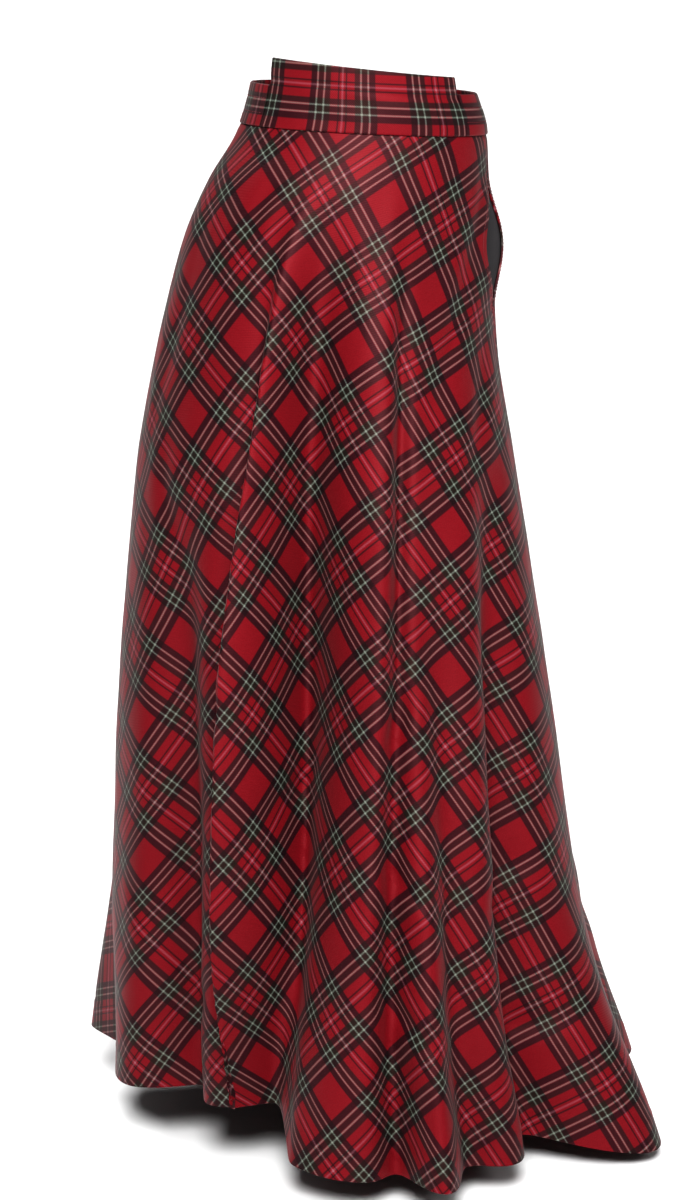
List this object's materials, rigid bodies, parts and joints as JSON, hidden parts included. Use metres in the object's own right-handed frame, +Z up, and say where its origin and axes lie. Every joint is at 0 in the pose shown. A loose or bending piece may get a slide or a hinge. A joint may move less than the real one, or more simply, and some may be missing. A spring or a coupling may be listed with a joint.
{
  "type": "maxi skirt",
  "caption": "Long flared skirt cut on the bias in checked wool, with a flat front waistband, gathered elastic back waistband and a side-seam pocket, worn and hollow.",
  "frame": {"origin": "middle of the waist, half way up the front waistband, where the wearer holds the skirt up", "axes": "+Z up out of the waist, front of the skirt towards -Y, side with the pocket towards +X"},
  "size_m": [0.59, 0.5658, 1.0744],
  "materials": {
    "skirt_cloth": "brushed twill in a red, green-black and off-white tartan, cut on the bias",
    "band_cloth": "brushed twill in the same tartan, cut on the straight grain",
    "pocket_lining": "plain black woven lining"
  },
  "bodies": {
    "root": {"waistband_front": "band_cloth", "waistband_back": "band_cloth", "skirt_front": "skirt_cloth", "skirt_back": "skirt_cloth", "pocket_bag": "pocket_lining"}
  },
  "joints": []
}
